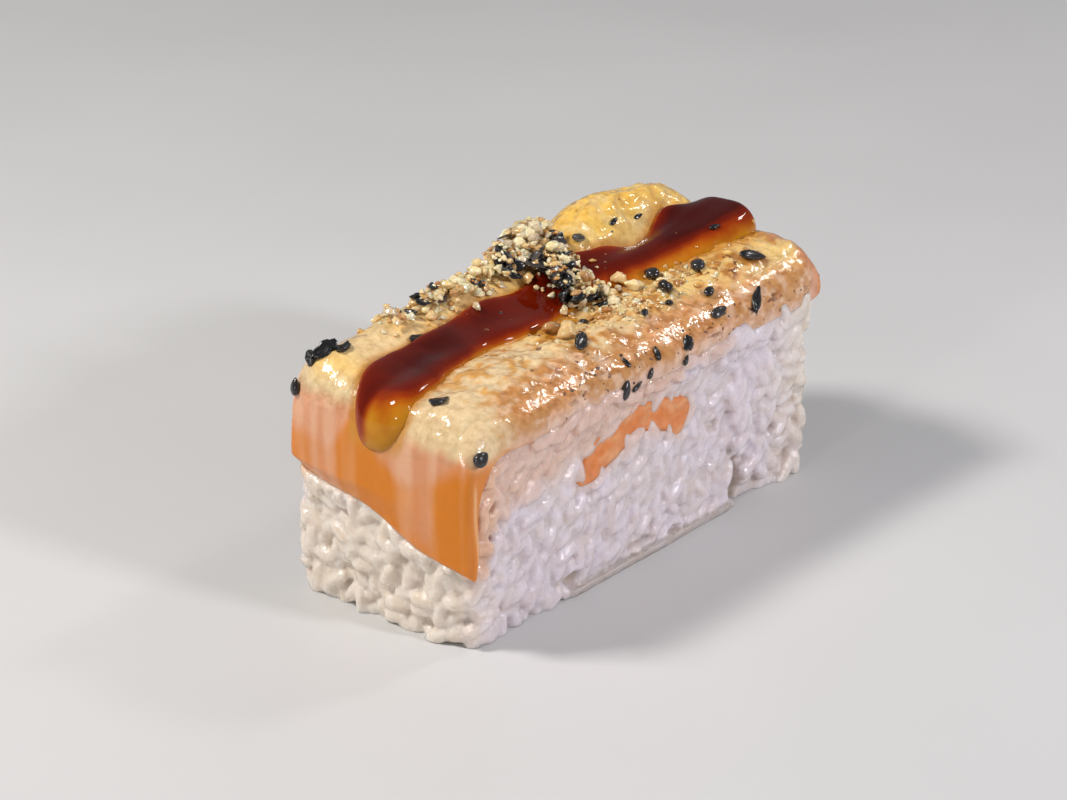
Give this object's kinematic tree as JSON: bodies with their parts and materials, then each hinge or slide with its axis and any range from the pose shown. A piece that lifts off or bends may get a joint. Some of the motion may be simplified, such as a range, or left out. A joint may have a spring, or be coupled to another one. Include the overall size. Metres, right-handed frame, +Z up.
{
  "type": "salmon oshizushi",
  "caption": "Pressed block of sushi rice with seared salmon folded over one end, seared cream, a dark sauce stripe and a heap of chopped nuts and seeds.",
  "frame": {"origin": "centre of the block's base on the surface that it rests on", "axes": "+X along the block from the end under the salmon's flap to the far end, +Y towards the back long side, +Z up"},
  "size_m": [0.0601, 0.0256, 0.0313],
  "materials": {
    "rice": "moist sticky rice, semi-gloss",
    "salmon": "moist, glossy",
    "cream": "seared, glossy",
    "sauce": "wet, high gloss",
    "topping": "chopped and toasted, semi-gloss"
  },
  "bodies": {
    "root": {"rice_block": "rice", "salmon_slab": "salmon", "salmon_filling": "salmon", "seared_cream": "cream", "sauce_stripe": "sauce", "nut_and_seed_heap": "topping"}
  },
  "joints": []
}
